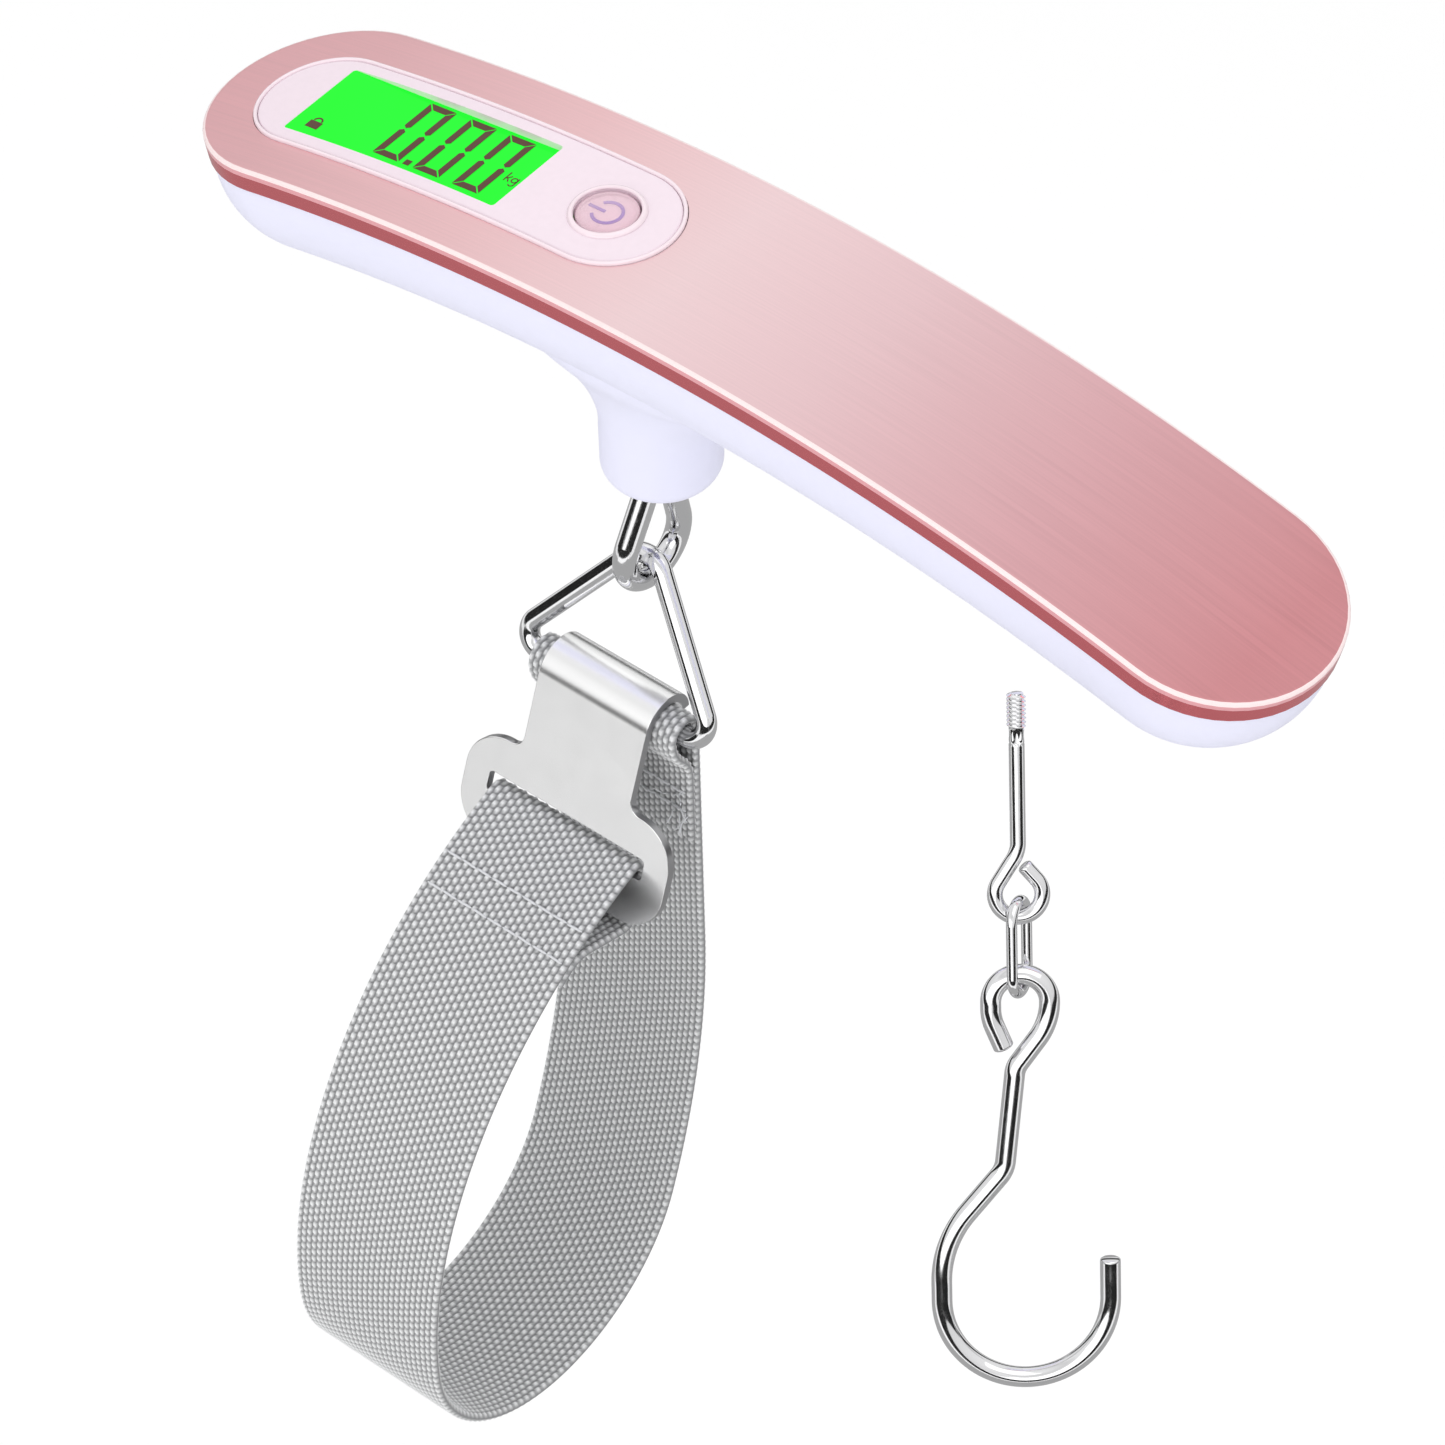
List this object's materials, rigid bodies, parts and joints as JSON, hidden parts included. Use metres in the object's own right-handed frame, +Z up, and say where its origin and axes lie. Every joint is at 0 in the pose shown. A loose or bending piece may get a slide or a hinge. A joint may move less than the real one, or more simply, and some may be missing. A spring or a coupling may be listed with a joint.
{
  "type": "digital luggage scale",
  "caption": "Hand-held hanging scale with an arched handle, small display and button, a webbing loop on a swivel eye, and a spare hook set.",
  "frame": {"origin": "on the load axis (the swivel eye's axis), level with the crown of the arched face; this is where the hand grips it, mount hand_grip", "axes": "+Z up, against the load; handle along X with the display towards -X; the webbing loop opens towards -Y"},
  "size_m": [0.1827, 0.0842, 0.1803],
  "materials": {
    "rose_metal": "brushed rose gold",
    "shell_plastic": "glossy lavender white",
    "frame_plastic": "moulded",
    "window_plastic": "milky pink",
    "bezel_plastic": "glossy",
    "button_plastic": "clear dome over pink",
    "lcd": "backlit green",
    "light_guide": "clear",
    "elastomer": "soft",
    "board": "solder mask",
    "chips": "moulded",
    "steel": "bright",
    "screw_steel": "zinc",
    "plate_steel": "satin nickel",
    "beam": "machined",
    "foil": "polyimide foil",
    "cell": "nickel",
    "webbing": "ribbed webbing",
    "thread": "polyester thread"
  },
  "bodies": {
    "housing": {"face_cover": "rose_metal", "inner_frame": "frame_plastic", "lower_shell": "shell_plastic", "case_screws": "screw_steel", "stem_bush": "frame_plastic", "display_window": "window_plastic", "window_bezel": "bezel_plastic", "button_ring": "button_plastic", "lcd_glass": "lcd", "lcd_backlight": "light_guide", "lcd_connectors": "elastomer", "lcd_holder": "frame_plastic", "circuit_board": "board", "board_chips": "chips", "tact_switch": "chips", "coin_cell": "cell", "battery_holder": "frame_plastic", "battery_contact_negative": "screw_steel", "battery_contact_positive": "screw_steel", "load_cell": "beam", "strain_gauges": "foil", "beam_screws": "screw_steel", "eye_washer": "screw_steel"},
    "button": {"power_button": "button_plastic"},
    "door": {"battery_door": "shell_plastic"},
    "swivel": {"load_eye": "steel", "eye_nut": "screw_steel"},
    "triangle": {"triangle_ring": "steel"},
    "strap": {"strap_loop": "webbing", "strap_back_end": "webbing", "back_stitching": "thread"},
    "t_hook": {"t_hook_plate": "plate_steel", "strap_front_end": "webbing", "front_stitching": "thread"},
    "spare_rod": {"spare_shank": "steel"},
    "spare_oval": {"spare_link": "steel"},
    "spare_j": {"spare_hook": "steel"}
  },
  "joints": [
    {"name": "power_press", "type": "slide", "parent": "housing", "child": "button", "axis": [0.077, 0, -0.997], "range_m": [0, 0.0006], "stiffness_N_per_m": 600},
    {"name": "door_lift", "type": "slide", "parent": "housing", "child": "door", "axis": [-0.1498, 0, -0.9887], "range_m": [0, 0.015]},
    {"name": "eye_swivel", "type": "hinge", "parent": "housing", "child": "swivel", "pos_m": [0, 0, -0.04], "axis": [0, 0, 1], "continuous": true},
    {"name": "ring_sway", "type": "hinge", "parent": "swivel", "child": "triangle", "pos_m": [0, -0.0046, -0.05758], "axis": [0, -0.9239, 0.3827], "range_deg": [-10, 20]},
    {"name": "strap_swing", "type": "hinge", "parent": "triangle", "child": "strap", "pos_m": [0, -0.01142, -0.07403], "axis": [1, 0, 0], "range_deg": [-15, 30]},
    {"name": "hook_pivot", "type": "hinge", "parent": "strap", "child": "t_hook", "pos_m": [0, -0.01142, -0.07403], "axis": [1, 0, 0], "range_deg": [-15, 6]},
    {"name": "spare_lift", "type": "slide", "parent": "housing", "child": "spare_rod", "axis": [0.6468, -0.7627, 0], "range_m": [0, 0.015]},
    {"name": "spare_link_sway", "type": "hinge", "parent": "spare_rod", "child": "spare_oval", "pos_m": [0.08466, -0.03528, -0.03343], "axis": [0.5601, -0.6605, 0.5], "range_deg": [-25, 25]},
    {"name": "spare_hook_sway", "type": "hinge", "parent": "spare_oval", "child": "spare_j", "pos_m": [0.08909, -0.04051, -0.0453], "axis": [0.5601, -0.6605, 0.5], "range_deg": [-30, 30]}
  ]
}
